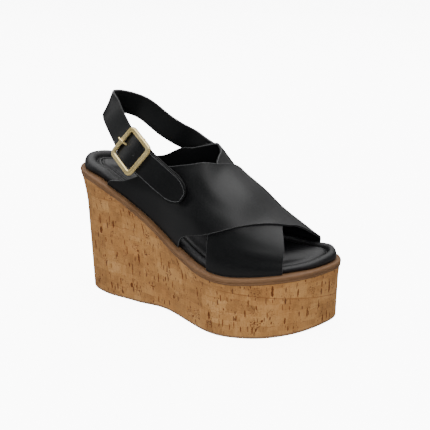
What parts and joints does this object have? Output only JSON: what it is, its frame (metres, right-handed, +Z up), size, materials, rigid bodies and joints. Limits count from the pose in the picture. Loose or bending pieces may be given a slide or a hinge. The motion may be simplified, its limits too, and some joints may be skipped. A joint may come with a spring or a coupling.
{
  "type": "platform sandal",
  "caption": "Tall cork-covered platform sandal for the right foot, with crossed leather straps and a buckled strap round the heel.",
  "frame": {"origin": "on the floor, under the middle of the sandal's bounding box", "axes": "+X towards the toe, +Y towards the inner side of the right foot, +Z up"},
  "size_m": [0.2504, 0.1098, 0.1922],
  "materials": {
    "rubber": "matte brown sole rubber",
    "cork": "cork sheet, warm tan with dark brown flecks, matte",
    "welt": "tan leather, satin",
    "leather": "smooth black leather, satin",
    "lining": "soft black footbed leather, satin",
    "gold": "polished pale gold plating"
  },
  "bodies": {
    "root": {"outsole": "rubber", "wedge": "cork", "welt": "welt", "footbed": "lining", "upper": "leather", "heel_strap": "leather", "buckle_tab": "leather", "buckle_frame": "gold", "buckle_prong": "gold"}
  },
  "joints": []
}
